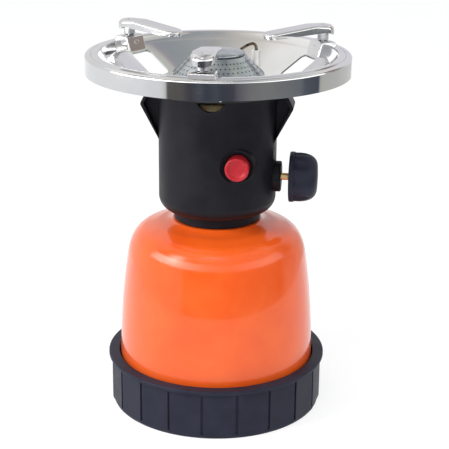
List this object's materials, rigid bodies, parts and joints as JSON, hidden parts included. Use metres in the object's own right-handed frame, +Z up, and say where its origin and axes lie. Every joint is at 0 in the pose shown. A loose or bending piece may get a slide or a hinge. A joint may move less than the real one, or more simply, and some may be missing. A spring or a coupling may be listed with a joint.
{
  "type": "camping gas stove",
  "caption": "Portable camping stove standing on its own pierceable gas cartridge, with orange steel bell, black base and head, polished wind dish and folding pan supports.",
  "frame": {"origin": "on the stove's vertical axis, at the underside of the base", "axes": "+Z up, +X towards the control knob, -Y towards the front, where the igniter button is"},
  "size_m": [0.1302, 0.1302, 0.1922],
  "materials": {
    "orange_paint": "glossy orange baked enamel on pressed steel",
    "black_plastic": "satin black moulded heat-resistant plastic",
    "red_plastic": "semi-gloss red moulded plastic",
    "polished_steel": "bright polished pressed steel",
    "burner_steel": "satin pressed steel",
    "zinc_steel": "zinc-plated steel",
    "brass": "turned brass",
    "rubber": "matt black nitrile rubber",
    "white_ceramic": "white glazed alumina ceramic",
    "spark_wire": "heat-tinted resistance-alloy wire",
    "lead_sleeve": "pale silicone insulation",
    "cartridge_tin": "plain blue lacquered tin plate"
  },
  "bodies": {
    "base": {"base_cup": "black_plastic", "gas_cartridge": "cartridge_tin"},
    "stove_body": {"bell_housing": "orange_paint", "bell_lock_nut": "zinc_steel", "valve_body": "brass", "piercing_needle": "zinc_steel", "cartridge_seal": "rubber", "gas_filter": "brass", "jet_nozzle": "brass", "mixing_tube": "brass", "spindle_o_ring": "rubber", "valve_gland_nut": "brass", "burner_bowl": "brass", "burner_cap": "burner_steel", "burner_top_plate": "burner_steel", "head_housing": "black_plastic", "flame_dish": "polished_steel", "dish_screw_right": "zinc_steel", "dish_screw_left": "zinc_steel", "igniter_body": "black_plastic", "igniter_clip": "zinc_steel", "electrode_ceramic": "white_ceramic", "electrode_clip": "zinc_steel", "electrode_wire": "spark_wire", "igniter_lead": "lead_sleeve", "support_rivet_front": "polished_steel", "support_bushing_front": "zinc_steel", "support_rivet_right": "polished_steel", "support_bushing_right": "zinc_steel", "support_rivet_left": "polished_steel", "support_bushing_left": "zinc_steel"},
    "knob": {"control_knob": "black_plastic", "valve_spindle": "brass", "knob_screw": "zinc_steel"},
    "igniter_button": {"igniter_button": "red_plastic"},
    "support_arm_front": {"support_arm_front": "polished_steel"},
    "support_arm_right": {"support_arm_right": "polished_steel"},
    "support_arm_left": {"support_arm_left": "polished_steel"}
  },
  "joints": [
    {"name": "base_twist", "type": "hinge", "parent": "base", "child": "stove_body", "pos_m": [0, 0, 0], "axis": [0, 0, 1], "range_deg": [0, 40]},
    {"name": "knob_turn", "type": "hinge", "parent": "stove_body", "child": "knob", "pos_m": [0.0363, 0, 0.1204], "axis": [1, 0, 0], "range_deg": [0, 540]},
    {"name": "igniter_press", "type": "slide", "parent": "stove_body", "child": "igniter_button", "axis": [0, 1, 0], "range_m": [0, 0.005], "stiffness_N_per_m": 1500},
    {"name": "support_fold_front", "type": "hinge", "parent": "stove_body", "child": "support_arm_front", "pos_m": [0, -0.057, 0.1863], "axis": [0, 0, 1], "range_deg": [-75, 75]},
    {"name": "support_fold_right", "type": "hinge", "parent": "stove_body", "child": "support_arm_right", "pos_m": [0.04936, 0.0285, 0.1863], "axis": [0, 0, 1], "range_deg": [-75, 75]},
    {"name": "support_fold_left", "type": "hinge", "parent": "stove_body", "child": "support_arm_left", "pos_m": [-0.04936, 0.0285, 0.1863], "axis": [0, 0, 1], "range_deg": [-75, 75]}
  ]
}
